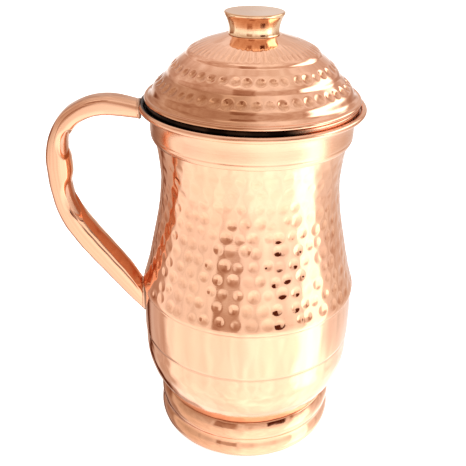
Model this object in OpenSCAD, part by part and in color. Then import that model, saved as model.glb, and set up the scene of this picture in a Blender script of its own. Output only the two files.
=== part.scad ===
// Hammered copper water jug with a stepped, domed lid and a tube handle.
// Origin on the jug's axis at the level of the foot, +Z up, handle towards -X.
// Millimetres throughout.

/* [Overall] */
// Height from the foot to the top of the knob
total_h = 228.6; // [226:0.2:232]
// Thickness of the copper sheet of the body
wall = 1; // [0.8:0.05:1.1]
// Gap between the seated lid and the jug
seat_gap = 0.35; // [0.3:0.05:0.5]

/* [Body] */
// Largest outside radius, at the lapped ridge
ridge_r = 57.15; // [56.6:0.05:57.6]
// Height of the ridge's lower lip
ridge_z = 87.2; // [86:0.1:89]
// Outside radius at the waist
waist_r = 45.7; // [45:0.1:46.5]
// Height of the waist
waist_z = 147; // [144:0.5:150]
// How far the lower bowl runs up inside the ridge
lap = 6; // [4:0.5:7]

/* [Foot] */
// Outside radius of the crease between bowl and foot
crease_r = 47.5; // [47:0.1:48]
// Height of that crease
crease_z = 24; // [23.5:0.1:25]
// Largest outside radius of the foot
foot_r = 49.5; // [49:0.1:50]

/* [Collar and rim] */
// Height of the collar's lower edge
collar_z = 169.8; // [169:0.1:171]
// Outside radius of the collar
collar_r = 50.1; // [49.9:0.05:50.3]
// Outside radius of the rolled rim
rim_r = 55.2; // [55:0.1:55.6]
// Height of the middle of the rolled rim
rim_z = 185.1; // [184.9:0.1:185.3]
// Radius of the roll's section
roll_r = 1.5; // [1.3:0.05:1.5]
// Radius of the wire inside the roll
rim_wire_r = 0.7; // [0.5:0.05:0.75]

/* [Lid] */
// Outside radius of the lid's rolled edge
lid_r = 52.35; // [52:0.05:52.6]
// Height of the middle of the lid's rolled edge
lid_edge_z = 189.2; // [189:0.1:189.4]
// Thickness of the lid's sheet
lid_wall = 0.9; // [0.7:0.05:1]
// Depth of the lid's ring below its seat
skirt_h = 11; // [8:0.5:14]
// Height of the lid's top under the knob
lid_top_z = 218.4; // [218:0.1:218.8]

/* [Knob] */
// Radius of the knob's disc
knob_r = 14.2; // [13.8:0.1:14.6]
// Radius of the knob's waist
knob_waist_r = 11.8; // [11.4:0.1:12.2]
// Radius of the screw that holds the knob
screw_r = 1.5; // [1.3:0.05:1.6]

/* [Handle] */
// How far the handle's outside stands from the jug's axis
handle_reach = 101.2; // [100:0.2:103]
// Half the handle's width across the jug
handle_half_w = 6.6; // [6:0.1:7]
// Thickness of the handle tube's sheet
handle_wall = 1; // [0.8:0.1:1.2]
// Depth of the finger grips pressed into the tube
grip_depth = 1.8; // [1:0.1:2]

/* [Quality] */
// Facets of a full turn
turn_facets = 120; // [72:12:180]
// Rings along the handle's tube
handle_rings = 44; // [32:1:56]
// Sides of the handle's tube
handle_sides = 24; // [16:2:28]

/* [Hidden] */
$fn = turn_facets;

eps = 0.05;           // clearance between sheets that are brazed face to face
copper = [0.85, 0.53, 0.38];
bright_copper = [0.93, 0.64, 0.48];
dull_copper = [0.66, 0.40, 0.28];
solder = [0.76, 0.62, 0.42];
brass = [0.80, 0.65, 0.38];

// ---- curves ------------------------------------------------------------

// A point between p1 and p2 on a smooth curve that also heeds p0 and p3.
function blend4(p0, p1, p2, p3, t) =
    0.5 * (2 * p1 + (p2 - p0) * t + (2 * p0 - 5 * p1 + 4 * p2 - p3) * t * t
           + (3 * p1 - p0 - 3 * p2 + p3) * t * t * t);

// A smooth curve through the points of p, with n steps between each two.
function smooth(p, n) = let (last = len(p) - 1) concat(
    [for (i = [0:last - 1], k = [0:n - 1])
        blend4(p[max(i - 1, 0)], p[i], p[i + 1], p[min(i + 2, last)], k / n)],
    [p[last]]);

function unit(v) = v / norm(v);

// The direction to the left of travel at point i of an outline.
function left_of(p, i) =
    let (d = unit(p[min(i + 1, len(p) - 1)] - p[max(i - 1, 0)])) [-d[1], d[0]];

// The outline moved sideways by t, to the left of its direction of travel.
function shifted(p, t) = [for (i = [0:len(p) - 1]) p[i] + t * left_of(p, i)];

function reversed(p) = [for (i = [len(p) - 1:-1:0]) p[i]];

function arc(centre, r, from, to, n) =
    [for (i = [0:n]) let (a = from + (to - from) * i / n) centre + r * [cos(a), sin(a)]];

// Sheet of thickness t turned about the Z axis: p runs upwards on its outer face.
module spun_sheet(p, t) {
    rotate_extrude() polygon(concat(p, reversed(shifted(p, t))));
}

// Solid of revolution out to the outline p.
module spun_solid(p) {
    rotate_extrude() polygon(concat([[0, p[0][1]]], p, [[0, p[len(p) - 1][1]]]));
}

module ring(r, section_r, z) {
    translate([0, 0, z]) rotate_extrude() translate([r, 0]) circle(r = section_r, $fn = 32);
}

// ---- outlines, as [radius, height], from the bottom up ------------------

// Upper shell, from the ridge's lip to the top edge that the collar hides.
neck_r = collar_r - wall - eps;
neck_top_z = rim_z - 4.6;
upper_outline = smooth([
    [ridge_r, ridge_z], [ridge_r - 0.15, ridge_z + 1.8], [ridge_r - 1.5, ridge_z + 6.3],
    [ridge_r - 3.3, ridge_z + 12.8], [51.2, 112], [48.6, 124], [46.9, 134],
    [waist_r, waist_z], [46.1, 156], [47.2, 165], [neck_r - 0.4, collar_z + 2],
    [neck_r, collar_z + 5], [neck_r, neck_top_z]], 4);

// Lower bowl below the ridge's lip: the smooth band, then the bowl.
band_z = 60.2;        // crease between the band and the hammered bowl
bowl_outline = smooth([
    [crease_r, crease_z], [crease_r + 1.8, crease_z + 3.2], [crease_r + 4, crease_z + 7.2],
    [53.7, 36], [55.3, 41], [56.4, 46], [ridge_r - 0.2, 51],
    [ridge_r - 0.05, band_z], [ridge_r - 0.05, band_z + 7], [ridge_r - 0.2, band_z + 15],
    [ridge_r - 0.6, ridge_z - 1]], 3);

// The part of the bowl that stands inside the ridge follows its inner face.
lap_outline = [for (q = shifted(upper_outline, wall + eps)) if (q[1] < ridge_z + lap) q];

// Foot, from its lower edge to the crease.
foot_outline = smooth([
    [foot_r - 1.6, 0], [foot_r - 0.5, 1.4], [foot_r, 4.2], [foot_r - 0.35, 7],
    [foot_r - 1.35, 10], [foot_r - 1.3, 11.6], [foot_r - 0.5, 14], [foot_r - 0.25, 16.6],
    [foot_r - 0.6, 19.4], [crease_r + 0.4, crease_z - 2], [crease_r - 0.3, crease_z - 0.8]], 3);

// Collar, from its lower edge to where the rim's roll begins.
roll_mid_r = rim_r - roll_r;
collar_outline = smooth([
    [collar_r - 0.75, collar_z], [collar_r - 0.3, collar_z + 1.2],
    [collar_r, collar_z + 4], [collar_r, collar_z + 9], [collar_r + 0.45, rim_z - 3.5],
    [collar_r + 1.25, rim_z - 1.9], [collar_r + 2.4, rim_z - 0.9]], 3);

// Lid, from the rolled edge to the hole for the knob's screw: three steps, each
// with a steep riser and a sloping tread, and a flatter top cone.
lid_roll_r = 1.25;
lid_outline = concat(
    smooth([[lid_r - 1.5, lid_edge_z + 0.9], [lid_r - 2.2, 190.7], [lid_r - 3.5, 192],
            [47.2, 195.2], [44, 198], [41.3, 200.5]], 3),
    smooth([[40.4, 202.3], [38.6, 204.4], [35.2, 207.3]], 3),
    smooth([[32.1, 209.6], [31.6, 210.6], [30.2, 211.9], [27, 213.6], [22, 215.6],
            [16.5, 217.3], [13, lid_top_z]], 3),
    [[screw_r + 0.2, lid_top_z]]);

// Knob, from its base to the top of its disc.
knob_outline = concat(
    smooth([[knob_waist_r + 0.4, lid_top_z], [knob_waist_r + 0.1, lid_top_z + 0.9],
            [knob_waist_r, lid_top_z + 2.2], [knob_waist_r + 0.3, lid_top_z + 4.2],
            [knob_waist_r + 0.9, lid_top_z + 6.2], [knob_r - 0.9, total_h - 2.6],
            [knob_r - 0.3, total_h - 1.6]], 3),
    arc([knob_r - 0.75, total_h - 0.75], 0.75, -20, 90, 5));

// ---- body of the jug ----------------------------------------------------

// Waisted upper body, hammered on its outside, its lower lip lapped over the bowl.
module upper_shell() {
    color(copper) spun_sheet(upper_outline, wall);
}

// Smooth band and rounded bowl, with a flange turned in over the foot.
flange_r = 43;        // inner radius of the flanges under the bottom
module lower_bowl() {
    color(copper) {
        spun_sheet(concat(bowl_outline, lap_outline), wall);
        translate([0, 0, crease_z]) difference() {
            cylinder(r = crease_r - wall / 2, h = wall);
            translate([0, 0, -1]) cylinder(r = flange_r, h = wall + 2);
        }
    }
}

// Water-tight bottom, brazed on top of the bowl's flange.
module base_disc() {
    color(dull_copper) translate([0, 0, crease_z + wall])
        cylinder(r = crease_r - wall - 0.6, h = wall);
}

// Spreading foot with two rounded mouldings and a flange under the bowl.
module foot_ring() {
    color(copper) {
        spun_sheet(foot_outline, wall);
        translate([0, 0, crease_z - wall - eps]) difference() {
            cylinder(r = crease_r - 0.2, h = wall);
            translate([0, 0, -1]) cylinder(r = flange_r, h = wall + 2);
        }
        difference() {      // lower edge folded flat, so that the jug stands on it
            cylinder(r = foot_r - 1.6, h = wall);
            translate([0, 0, -1]) cylinder(r = foot_r - 4, h = wall + 2);
        }
    }
}

// Smooth band round the mouth, flared and rolled over a wire at its top.
module collar_band() {
    color(bright_copper) {
        spun_sheet(collar_outline, wall);
        difference() {
            ring(roll_mid_r, roll_r, rim_z);
            ring(roll_mid_r, rim_wire_r + eps, rim_z);
        }
    }
}

module rim_wire() {
    color(dull_copper) ring(roll_mid_r, rim_wire_r, rim_z);
}

// ---- handle -------------------------------------------------------------

// Middle line of the tube in the plane y = 0, as [distance from the axis, height].
handle_path = [
    [56.6, 183.4], [64, 184.8], [72, 185.4], [81, 183.4], [88.5, 178.6],
    [93.2, 171.5], [handle_reach - 6.1, 161], [handle_reach - 6, 148], [94, 136],
    [90.4, 125.6], [83.6, 114.4], [75, 102.4], [66.4, 90.6], [57.9, 78.1]];

// Half the tube's thickness in that plane at each point: flattened at the top bend
// and pinched a little where it meets the jug.
handle_half_t = [4.2, 4.7, 4.7, 4.5, 4.5, 5, 6.1, 6.2, 6.2, 6.7, 7.1, 7.1, 6.8, 5.2];

grip_heights = [168, 140];   // middle of each finger grip
grip_half_h = 8;             // half the height of a grip

// How far the inner face is pressed in at height z.
function grip_in(z) = let (
    parts = [for (g = grip_heights) abs(z - g) < grip_half_h
        ? 0.5 + 0.5 * cos(180 * (z - g) / grip_half_h) : 0])
    grip_depth * max(parts);

handle_steps = handle_rings - 1;
end_zone = 0.12;     // share of the tube's length over which its rings lean to its ends

// Value on a smooth curve through list p at the fraction u of its length.
function along(p, u) = let (
    last = len(p) - 1, s = u * last, i = min(floor(s), last - 1))
    blend4(p[max(i - 1, 0)], p[i], p[i + 1], p[min(i + 2, last)], s - i);

// One ring of the tube's outline, inset by the sheet's thickness for the bore.
// Rings lean over near the ends, so that the end rings stand upright on the jug.
function tube_ring(k, inset) = let (
    u = k / handle_steps,
    here = along(handle_path, u),
    d = unit(along(handle_path, min(u + 0.01, 1)) - along(handle_path, max(u - 0.01, 0))),
    lean = max(0, 1 - min(u, 1 - u) / end_zone),
    out = [-d[1], d[0]] + (lean > 0 ? lean * d[1] / d[0] * d : [0, 0]),
    half_t = along(handle_half_t, u) - inset,
    half_w = handle_half_w - inset)
    [for (j = [0:handle_sides - 1]) let (
        a = 360 * j / handle_sides,
        c = cos(a),
        pressed = c < 0 && here[0] > 80 ? grip_in(here[1]) * c * c : 0,
        // rounded corners, a little squarer than an ellipse
        side = sign(c) * pow(abs(c), 0.86) * half_t + pressed,
        q = here + out * side)
        [-q[0], sign(sin(a)) * pow(abs(sin(a)), 0.86) * half_w, q[1]]];

// Copper tube bent to the shape of the hand, with finger grips on its inner side.
module handle_tube() {
    m = handle_sides;
    n = handle_rings;
    outer = [for (k = [0:n - 1]) each tube_ring(k, 0)];
    inner = [for (k = [0:n - 1]) each tube_ring(k, handle_wall)];
    skin = [for (k = [0:n - 2], j = [0:m - 1]) let (i = (j + 1) % m)
        each [[k * m + j, k * m + i, (k + 1) * m + i], [k * m + j, (k + 1) * m + i, (k + 1) * m + j]]];
    bore = [for (f = skin) [f[2] + n * m, f[1] + n * m, f[0] + n * m]];
    ends = [for (k = [0, n - 1], j = [0:m - 1]) let (
        i = (j + 1) % m, a = k * m + j, b = k * m + i, far = k > 0)
        each [far ? [a, b, b + n * m] : [b, a, a + n * m],
              far ? [a, b + n * m, a + n * m] : [b, a + n * m, b + n * m]]];
    color(bright_copper) polyhedron(points = concat(outer, inner), faces = concat(skin, bore, ends));
}

// Upright plate with round ends across a tube's end, from x1 to x2.
module end_plate(x1, x2, half_h, z) {
    half_w = handle_half_w - 0.6;
    translate([-x2, 0, z]) rotate([0, 90, 0]) linear_extrude(x2 - x1) union() {
        square([2 * (half_h - half_w), 2 * half_w], center = true);
        for (side = [-1, 1]) translate([side * (half_h - half_w), 0]) circle(r = half_w, $fn = 48);
    }
}

// Solder that joins the tube's upper end to the rim's roll.
module handle_top_solder() {
    half_w = handle_half_w - 0.8;
    color(solder) difference() {
        translate([-handle_path[0][0], -half_w, handle_path[0][1] - 4])
            cube([2.6, 2 * half_w, 8]);
        ring(roll_mid_r, roll_r + eps, rim_z);
    }
}

// Solder that joins the tube's lower end to the ridge and the band.
module handle_bottom_solder() {
    last = len(handle_path) - 1;
    color(solder) difference() {
        end_plate(ridge_r - 2.6, handle_path[last][0], 9.2, handle_path[last][1]);
        spun_solid([for (q = concat(bowl_outline, [[ridge_r, ridge_z - 0.9]], upper_outline))
            [q[0] + eps, q[1]]]);
    }
}

// ---- lid ----------------------------------------------------------------

// Domed, stepped lid with a rolled edge; its steps are hammered on the outside.
module lid_shell() {
    roll_mid = lid_r - lid_roll_r;
    color(copper) difference() {
        union() {
            spun_sheet(lid_outline, lid_wall);
            ring(roll_mid, lid_roll_r, lid_edge_z);
        }
        ring(roll_mid, lid_roll_r / 2 + eps, lid_edge_z);
    }
}

module lid_edge_wire() {
    color(dull_copper) ring(lid_r - lid_roll_r, lid_roll_r / 2, lid_edge_z);
}

// Ring brazed under the lid: it drops into the mouth and seats on the rim's flare.
module lid_collar() {
    skirt_r = neck_r - wall - seat_gap;
    color(bright_copper) spun_sheet(concat(
        [[skirt_r - 1.4, neck_top_z - skirt_h], [skirt_r - 0.2, neck_top_z - 5.5]],
        smooth([[skirt_r, neck_top_z + 0.3], [48.5, neck_top_z + 1.9], [49.9, neck_top_z + 3.1],
                [51.1, rim_z - 0.05], [roll_mid_r - 2.05, rim_z + 0.9],
                [lid_r - lid_roll_r + 0.4, lid_edge_z - lid_roll_r - 0.7],
                [lid_r - lid_roll_r, lid_edge_z - lid_roll_r - 0.03]], 2)), lid_wall);
}

// Turned spool knob, drilled from below for its screw.
screw_top_z = lid_top_z + 6;
module knob() {
    color(bright_copper) difference() {
        spun_solid(knob_outline);
        translate([0, 0, lid_top_z - 1]) cylinder(r = screw_r, h = screw_top_z - lid_top_z + 2);
    }
}

washer_h = 0.8;
under_lid_z = lid_top_z - lid_wall;
module knob_washer() {
    color(brass) translate([0, 0, under_lid_z - washer_h]) difference() {
        cylinder(r = 5, h = washer_h);
        translate([0, 0, -1]) cylinder(r = screw_r + 0.2, h = washer_h + 2);
    }
}

// Round-headed screw with a slot, driven up through the lid into the knob.
module knob_screw() {
    head_h = 2;
    head_z = under_lid_z - washer_h - head_h;
    color(brass) difference() {
        union() {
            translate([0, 0, head_z]) cylinder(r = 3, h = head_h);
            translate([0, 0, head_z + head_h])
                cylinder(r = screw_r - 0.02, h = screw_top_z - head_z - head_h);
        }
        translate([-4, -0.4, head_z - 1]) cube([8, 0.8, 1.9]);
    }
}

upper_shell();
lower_bowl();
base_disc();
foot_ring();
collar_band();
rim_wire();
handle_tube();
handle_top_solder();
handle_bottom_solder();
lid_shell();
lid_edge_wire();
lid_collar();
knob();
knob_washer();
knob_screw();
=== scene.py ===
"""Looks of the hammered copper water jug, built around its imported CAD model.

Origin on the jug's axis at the level of the foot, +Z up, handle towards -X, metres.
Outlines are written in millimetres as [radius, height], from the bottom up, and hang on
the boxes of the CAD nodes that the pieces stand for.
"""

import math

import bpy
import numpy as np
from mathutils import Matrix, Vector


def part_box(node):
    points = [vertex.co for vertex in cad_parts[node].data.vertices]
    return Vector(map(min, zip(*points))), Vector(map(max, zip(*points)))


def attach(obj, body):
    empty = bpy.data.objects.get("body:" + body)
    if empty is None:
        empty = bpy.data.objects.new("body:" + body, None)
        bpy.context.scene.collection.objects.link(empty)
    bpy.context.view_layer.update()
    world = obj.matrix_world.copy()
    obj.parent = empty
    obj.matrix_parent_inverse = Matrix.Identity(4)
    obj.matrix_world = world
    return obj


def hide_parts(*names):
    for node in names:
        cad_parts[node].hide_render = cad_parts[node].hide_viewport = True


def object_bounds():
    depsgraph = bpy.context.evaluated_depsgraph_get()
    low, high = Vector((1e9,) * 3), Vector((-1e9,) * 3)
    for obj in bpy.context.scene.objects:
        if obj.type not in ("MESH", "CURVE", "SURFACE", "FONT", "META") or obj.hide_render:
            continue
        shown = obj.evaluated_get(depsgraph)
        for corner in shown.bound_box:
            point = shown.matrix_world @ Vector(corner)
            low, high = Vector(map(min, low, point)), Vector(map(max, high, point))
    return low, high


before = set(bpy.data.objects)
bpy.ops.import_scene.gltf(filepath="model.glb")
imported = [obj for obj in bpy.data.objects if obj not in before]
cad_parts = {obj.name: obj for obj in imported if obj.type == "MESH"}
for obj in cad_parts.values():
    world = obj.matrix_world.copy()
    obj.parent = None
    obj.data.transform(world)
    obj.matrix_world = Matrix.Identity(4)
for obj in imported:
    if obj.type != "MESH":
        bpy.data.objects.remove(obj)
cad_low, cad_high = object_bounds()
MM = 0.001
TURN = 2 * math.pi
SWING = -6                                  # degrees from -Y to the side that faces the camera
rng = np.random.default_rng(20)


def low(node, axis):
    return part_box(node)[0][axis] / MM


def high(node, axis):
    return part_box(node)[1][axis] / MM


# ---- sizes taken from the CAD model, mm ---------------------------------------------------

RIDGE_R, RIDGE_Z = high("upper_shell", 0), low("upper_shell", 2)
NECK_TOP_Z = high("upper_shell", 2)
CREASE_Z = low("lower_bowl", 2)
FOOT_R = high("foot_ring", 0)
COLLAR_Z = low("collar_band", 2)
RIM_R, RIM_TOP = high("collar_band", 0), high("collar_band", 2)
ROLL = 1.5                                  # radius of the rim's roll
RIM_Z, ROLL_MID = RIM_TOP - ROLL, RIM_R - ROLL
COLLAR_R = 50.1
LID_R, LID_BOTTOM = high("lid_shell", 0), low("lid_shell", 2)
LID_ROLL = 1.25                             # radius of the roll at the lid's edge
LID_EDGE_Z, LID_ROLL_MID = LID_BOTTOM + LID_ROLL, LID_R - LID_ROLL
LID_TOP = high("lid_shell", 2)
KNOB_R, KNOB_TOP = high("knob", 0), high("knob", 2)
KNOB_WAIST = 11.8
WALL, LID_WALL = 1.0, 0.9
GAP = 0.05                                  # between sheets that are brazed together
CREASE_R = 47.5                             # where the bowl meets the foot
FLANGE_R = 43.0                             # how far both are turned in under the bottom
BAND_Z = 60.2                               # groove below the bowl's smooth band
HANDLE_W = high("handle_tube", 1)           # half its width across the jug


# ---- curves and grids ---------------------------------------------------------------------

def smooth(points, steps=12):
    """Points along a smooth curve through the given ones."""
    last = len(points) - 1
    return along(points, np.linspace(0, last, last * steps + 1))


def along(p, u):
    """Values on a smooth curve through the rows of p, at the places u counted in rows."""
    p = np.asarray(p, float)
    last = len(p) - 1
    i = np.clip(np.floor(u).astype(int), 0, last - 1)
    t = u - i
    a, b, c, d = (p[np.clip(i + k, 0, last)] for k in (-1, 0, 1, 2))
    if p.ndim > 1:
        t = t[:, None]
    return 0.5 * (2 * b + (c - a) * t + (2 * a - 5 * b + 4 * c - d) * t * t
                  + (3 * b - a - 3 * c + d) * t * t * t)


def lengths(path):
    """Distance along a path up to each of its points."""
    return np.concatenate([[0], np.cumsum(np.linalg.norm(np.diff(path, axis=0), axis=1))])


def resample(path, step):
    """The path with points about one step apart."""
    path = np.asarray(path, float)
    s = lengths(path)
    at = np.linspace(0, s[-1], max(2, int(round(s[-1] / step)) + 1))
    return np.stack([np.interp(at, s, path[:, k]) for k in range(path.shape[1])], 1)


def outward(path, closed=False):
    """Unit normals to the right of the direction of travel, which is out of the metal."""
    if closed:
        d = np.roll(path, -1, 0) - np.roll(path, 1, 0)
    else:
        d = np.gradient(path, axis=0)
    n = np.stack([d[:, 1], -d[:, 0]], 1)
    return n / np.maximum(np.linalg.norm(n, axis=1), 1e-9)[:, None]


def arc(centre, radius, start, stop, count):
    a = np.radians(np.linspace(start, stop, count))
    return np.stack([centre[0] + radius * np.cos(a), centre[1] + radius * np.sin(a)], 1)


def round_edge(a, b, count=5):
    """Half circle from a to b, bulging to the right of that direction."""
    mid, half = (a + b) / 2, (b - a) / 2
    t = np.radians(np.linspace(0, 180, count + 2))[1:-1]
    side = np.array([half[1], -half[0]])
    return mid - half * np.cos(t)[:, None] + side * np.sin(t)[:, None]


def sheet(outer, wall, step=0.7, inner_step=2.0):
    """Closed outline of a sheet whose outer face is the path, with rounded edges.
    Returns the outline and how many of its points are on the outer face."""
    face = resample(outer, step)
    inside = resample(face - outward(face) * wall, inner_step)[::-1]
    loop = np.concatenate([face, round_edge(face[-1], inside[0]), inside,
                           round_edge(inside[-1], face[0])])
    return loop, len(face)


def floats(values):
    return np.asarray(values, dtype=np.float32).ravel()


def make_mesh(name, co, quads, tris=None, attributes=None):
    """A smooth-shaded mesh object from points in metres, quads and triangles."""
    mesh = bpy.data.meshes.new(name)
    quads = np.asarray(quads, np.int32)
    tris = np.zeros((0, 3), np.int32) if tris is None else np.asarray(tris, np.int32)
    mesh.vertices.add(len(co))
    mesh.vertices.foreach_set("co", floats(co))
    mesh.loops.add(quads.size + tris.size)
    mesh.loops.foreach_set("vertex_index", np.concatenate([quads.ravel(), tris.ravel()]))
    mesh.polygons.add(len(quads) + len(tris))
    starts = np.concatenate([np.arange(len(quads)) * 4, quads.size + np.arange(len(tris)) * 3])
    mesh.polygons.foreach_set("loop_start", starts.astype(np.int32))
    mesh.update(calc_edges=True)
    mesh.validate()
    mesh.polygons.foreach_set("use_smooth", np.ones(len(mesh.polygons), bool))
    for key, values in (attributes or {}).items():
        layer = mesh.attributes.new(key, "FLOAT", "POINT")
        layer.data.foreach_set("value", floats(values))
    obj = bpy.data.objects.new(name, mesh)
    bpy.context.scene.collection.objects.link(obj)
    return obj


def grid_faces(rows, cols, closed_rows=False):
    """Quads of a grid that closes round its columns, and round its rows if asked."""
    i = np.arange(rows if closed_rows else rows - 1)[:, None]
    j = np.arange(cols)[None, :]
    i2, j2 = (i + 1) % rows, (j + 1) % cols
    quad = np.stack(np.broadcast_arrays(i * cols + j, i * cols + j2, i2 * cols + j2,
                                        i2 * cols + j), -1)
    return quad.reshape(-1, 4)


def end_fans(rows, cols):
    """Triangles that close a grid's first and last rows onto two points that follow it."""
    j = np.arange(cols)
    j2 = (j + 1) % cols
    last_row, point = (rows - 1) * cols, np.full(cols, rows * cols)
    return np.concatenate([np.stack([j2, j, point], 1),
                           np.stack([last_row + j, last_row + j2, point + 1], 1)])


def spin(name, outline, cols, push=None, closed=True, attributes=None):
    """Turns an outline about the Z axis. push moves its points out of the metal, in mm.
    An open outline runs from the axis to the axis and is closed there by fans."""
    outline = np.asarray(outline, float)
    rows = len(outline)
    normal = outward(outline, closed)
    shift = np.zeros((rows, cols)) if push is None else push
    theta = np.arange(cols) * TURN / cols
    r = outline[:, :1] + shift * normal[:, :1]
    z = outline[:, 1:] + shift * normal[:, 1:]
    co = np.stack([r * np.cos(theta), r * np.sin(theta), z + 0 * theta], -1).reshape(-1, 3)
    attributes = attributes or {}
    if closed:
        return make_mesh(name, co * MM, grid_faces(rows, cols, True), None, attributes)
    co = np.concatenate([co, [[0, 0, z[0].mean()], [0, 0, z[-1].mean()]]])
    attributes = {key: np.concatenate([np.ravel(v), [np.ravel(v)[0], np.ravel(v)[-1]]])
                  for key, v in attributes.items()}
    return make_mesh(name, co * MM, grid_faces(rows, cols), end_fans(rows, cols), attributes)


def strike(outline, cols, marks, sharpness=1.25):
    """Depth of hammer marks on a turned grid. A mark is (place along the outline, angle,
    half length along the outline, half width round it, depth), all in mm but the angle."""
    s = lengths(outline)
    depth = np.zeros((len(outline), cols))
    step = TURN / cols
    for place, angle, half_l, half_w, deep in marks:
        rows = np.nonzero(np.abs(s - place) < half_l)[0]
        if not len(rows):
            continue
        r = np.interp(place, s, outline[:, 0])
        reach = half_w / r / step
        j = np.arange(math.ceil(angle / step - reach), math.floor(angle / step + reach) + 1)
        q = (((s[rows] - place) / half_l) ** 2)[:, None] \
            + (((j * step - angle) * r / half_w) ** 2)[None, :]
        at = np.ix_(rows, j % cols)
        depth[at] = np.maximum(depth[at], deep * np.clip(1 - q, 0, None) ** sharpness)
    return depth


def ripple(outline, cols, scale, amount, seed):
    """Gentle unevenness of hand-worked sheet: a few waves round and along the outline."""
    own = np.random.default_rng(seed)
    s = lengths(outline)[:, None]
    theta = (np.arange(cols) * TURN / cols)[None, :]
    out = np.zeros((len(outline), cols))
    for _ in range(9):
        turns = own.integers(2, 30)
        wave = own.uniform(0.3, 1.2) / scale
        out += own.normal() * np.cos(turns * theta + own.uniform(0, TURN)) \
            * np.cos(TURN * s * wave + own.uniform(0, TURN))
    return amount * out / 3


def bell(x, centre, half):
    """A smooth bump of height 1 at centre that ends half away from it."""
    t = np.clip(np.abs(x - centre) / half, 0, 1)
    return (1 - t * t) ** 2


def fade(x, start, stop):
    t = np.clip((x - start) / (stop - start), 0, 1)
    return t * t * (3 - 2 * t)


# ---- materials ----------------------------------------------------------------------------

class Nodes:
    """A short way to write a node tree."""

    def __init__(self, tree):
        self.tree = tree
        tree.nodes.clear()

    def add(self, kind, **settings):
        made = self.tree.nodes.new(kind)
        for key, value in settings.items():
            setattr(made, key, value)
        return made

    def link(self, a, b):
        self.tree.links.new(a, b)

    def put(self, socket, value):
        if isinstance(value, bpy.types.NodeSocket):
            self.link(value, socket)
        else:
            socket.default_value = value

    def math(self, operation, a, b=0.0):
        made = self.add("ShaderNodeMath", operation=operation)
        self.put(made.inputs[0], a)
        self.put(made.inputs[1], b)
        return made.outputs[0]

    def dot(self, a, b):
        made = self.add("ShaderNodeVectorMath", operation="DOT_PRODUCT")
        self.put(made.inputs[0], a)
        self.put(made.inputs[1], b)
        return made.outputs["Value"]

    def stretch(self, scale, vector=None):
        made = self.add("ShaderNodeMapping")
        self.put(made.inputs["Vector"], vector or self.place)
        made.inputs["Scale"].default_value = scale
        return made.outputs[0]

    def noise(self, scale, detail=3.0, rough=0.5, vector=None):
        made = self.add("ShaderNodeTexNoise")
        self.put(made.inputs["Vector"], vector or self.place)
        made.inputs["Scale"].default_value = scale
        made.inputs["Detail"].default_value = detail
        made.inputs["Roughness"].default_value = rough
        return made.outputs["Fac"]

    def ramp(self, value, start, stop, to_start=0.0, to_stop=1.0):
        """A smooth step of the value from start to stop."""
        made = self.add("ShaderNodeMapRange", interpolation_type="SMOOTHSTEP")
        self.put(made.inputs["Value"], value)
        for key, v in zip(("From Min", "From Max", "To Min", "To Max"),
                          (start, stop, to_start, to_stop)):
            self.put(made.inputs[key], v)
        return made.outputs[0]


class Paint(Nodes):
    """The node tree of a material."""

    def __init__(self, name):
        self.material = bpy.data.materials.new(name)
        self.material.use_nodes = True
        super().__init__(self.material.node_tree)
        self.shader = self.add("ShaderNodeBsdfPrincipled")
        self.link(self.shader.outputs[0], self.add("ShaderNodeOutputMaterial").inputs[0])
        self.place = self.add("ShaderNodeTexCoord").outputs["Object"]

    def mix(self, factor, a, b):
        made = self.add("ShaderNodeMix", data_type="RGBA")
        self.put(made.inputs[0], factor)
        for socket, value in ((made.inputs[6], a), (made.inputs[7], b)):
            self.put(socket, (*value, 1.0) if isinstance(value, tuple) else value)
        return made.outputs[2]

    def attribute(self, name):
        return self.add("ShaderNodeAttribute", attribute_name=name).outputs["Fac"]

    def turning_lines(self):
        """Coordinates whose noise runs in fine lines round the axis."""
        sides = self.add("ShaderNodeSeparateXYZ")
        self.link(self.place, sides.inputs[0])
        made = self.add("ShaderNodeCombineXYZ")
        for k, scale in enumerate((14.0, 14.0, 1700.0)):
            self.put(made.inputs[k], self.math("MULTIPLY", sides.outputs[k], scale))
        return made.outputs[0]

    def bump(self, height, distance, strength=1.0, normal=None):
        made = self.add("ShaderNodeBump")
        made.inputs["Strength"].default_value = strength
        made.inputs["Distance"].default_value = distance
        self.link(height, made.inputs["Height"])
        if normal is not None:
            self.link(normal, made.inputs["Normal"])
        return made.outputs[0]

    def metal(self, colour, roughness, normal=None):
        s = self.shader.inputs
        s["Metallic"].default_value = 1.0
        self.put(s["Base Color"], colour)
        self.put(s["Roughness"], roughness)
        if normal is not None:
            self.link(normal, s["Normal"])
        return self.material


COPPER = (0.955, 0.53, 0.335)
DEEP = (0.90, 0.43, 0.235)
PINK = (0.95, 0.52, 0.345)
DULL = (0.62, 0.30, 0.19)
# the next two are colours of painted shade: brown for sides that mirror darker surroundings, black
# for gaps, creases, the seam and joints
PAINTED_SHADE_BROWN = (0.58, 0.26, 0.13)
PAINTED_SHADE_BLACK = (0.012, 0.006, 0.004)
UNPOLISHED = (0.62, 0.34, 0.22), (0.76, 0.46, 0.33)
# a lighter, yellower copper for the knob, a painted sheen for its brighter reflections
KNOB_PAINTED_LIGHTER = (0.98, 0.67, 0.42), (0.97, 0.62, 0.38)


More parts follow.
